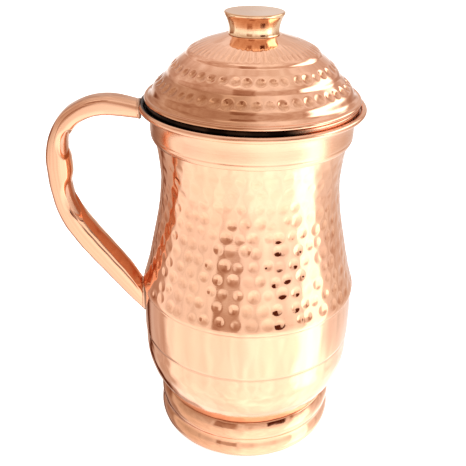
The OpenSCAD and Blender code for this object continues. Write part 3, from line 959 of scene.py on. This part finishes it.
# what the metal mirrors: a bright table below, a dimmer room at eye level and above
tone = room.add("ShaderNodeValToRGB")
tone.color_ramp.interpolation = "B_SPLINE"
ROOM = [(-1.0, 1.40), (-0.55, 1.42), (-0.42, 1.36), (-0.25, 1.20), (-0.1, 1.04), (0.05, 0.92),
        (0.2, 0.78), (0.45, 0.64), (0.75, 0.74), (1.0, 0.84)]          # (sine of elevation, level)
while len(tone.color_ramp.elements) < len(ROOM):
    tone.color_ramp.elements.new(0.5)
for element, (at, value) in zip(tone.color_ramp.elements, ROOM):
    element.position = (at + 1) / 2
    element.color = (value / 2, value / 2, value / 2, 1)
height = room.dot(room.place, (0, 0, 1))
room.link(room.math("MULTIPLY", room.math("ADD", height, 1.0), 0.5), tone.inputs[0])
level = room.math("MULTIPLY", tone.outputs[0], 2.0)
AROUND = [  # azimuth, elevation, half width, half height, softness of the edge, change of level
    (45, -42, 38, 34, 0.35, 0.40),     # brighter half of the table
    (73, -24, 13, 20, 0.05, 0.95),     # window at the right
    (100, 23, 27, 10, 0.12, 2.80),      # its upper pane, seen by the lid
    (35, 68, 24, 16, 0.25, 0.28),      # ceiling near the window
    (60, -8, 2.5, 30, 0.03, -0.40),    # window frame
    (98, -6, 8, 30, 0.06, -0.30),
    (118, -52, 28, 18, 0.20, 0.32),
    (180, 50, 60, 28, 0.3, 0.22),      # pale wall behind
    (-122, -26, 20, 28, 0.10, -0.70),  # dim corner behind the handle
    (-158, -44, 17, 27, 0.10, -0.80),
    (-140, 14, 15, 14, 0.15, -0.20),
    (-112, 44, 26, 18, 0.25, -0.10),
    (-75, -22, 18, 20, 0.25, -0.12),
    (134, -18, 26, 22, 0.15, -0.50),
    (138, 26, 16, 16, 0.20, -0.16),
    (-21, 2, 13, 13, 0.03, -0.38),     # things in front of the jug
    (-30, -16, 4, 14, 0.03, -0.14),
    (8, -20, 2.5, 22, 0.03, -0.10),
    (-12, 48, 12, 13, 0.04, -0.28),
    (40, 8, 11, 9, 0.02, -1.4),
    (-50, 66, 9, 6, 0.03, 0.30)]       # lamp above
for where in AROUND:
    level = room.math("ADD", level, patch(*where))
# unevenness of the room: upright streaks at eye level, patches above
for scale, detail, least, most in (((5.5, 5.5, 1.5), 3, 0.94, 1.05),
                                   ((9.0, 9.0, 6.0), 2, 0.93, 1.06)):
    cloud = room.noise(1.0, detail, vector=room.stretch(scale))
    level = room.math("MULTIPLY", level, room.ramp(cloud, 0.38, 0.62, least, most))
level = room.math("MAXIMUM", level, 0.10)
# the dimmer the surroundings, the browner they are
dimness = room.math("MINIMUM", room.math("DIVIDE", level, 0.95), 1.0)
warmth = room.add("ShaderNodeCombineColor")
lamp, white = (room.add("ShaderNodeBackground") for _ in range(2))
choose = room.add("ShaderNodeMixShader")
is_camera = room.add("ShaderNodeLightPath").outputs["Is Camera Ray"]
output = room.add("ShaderNodeOutputWorld")
for socket, value in (
        (warmth.inputs[0], 1.0), (warmth.inputs[1], room.math("POWER", dimness, 0.6)),
        (warmth.inputs[2], dimness), (lamp.inputs["Strength"], level),
        (lamp.inputs["Color"], warmth.outputs[0]), (white.inputs["Strength"], 1.0),
        (white.inputs["Color"], (1, 1, 1, 1)), (choose.inputs[0], is_camera),
        (choose.inputs[1], lamp.outputs[0]), (choose.inputs[2], white.outputs[0]),
        (output.inputs[0], choose.outputs[0])):
    room.put(socket, value)

# The camera stands in front of the jug, a little to the handle's side, and looks down on it.
EYE = Vector((0, -0.3214, 0.2818))
DOWN, YAW, TILT = math.radians(27.64), math.radians(-1.51), math.radians(0.84)
forward = Vector((math.sin(YAW) * math.cos(DOWN), math.cos(YAW) * math.cos(DOWN),
                  -math.sin(DOWN)))
level_right = Vector((math.cos(YAW), -math.sin(YAW), 0))
level_up = level_right.cross(forward)
right = math.cos(TILT) * level_right + math.sin(TILT) * level_up
up = -math.sin(TILT) * level_right + math.cos(TILT) * level_up
swing = Matrix.Rotation(math.radians(SWING), 3, "Z")
camera_data = bpy.data.cameras.new("camera")
camera_data.sensor_width = 36
camera_data.lens = 52.26
camera_data.clip_start, camera_data.clip_end = 0.01, 50
camera = bpy.data.objects.new("camera", camera_data)
scene.collection.objects.link(camera)
turn = Matrix((right, up, -forward)).transposed()
camera.matrix_world = Matrix.Translation(swing @ EYE) @ (swing @ turn).to_4x4()
scene.camera = camera
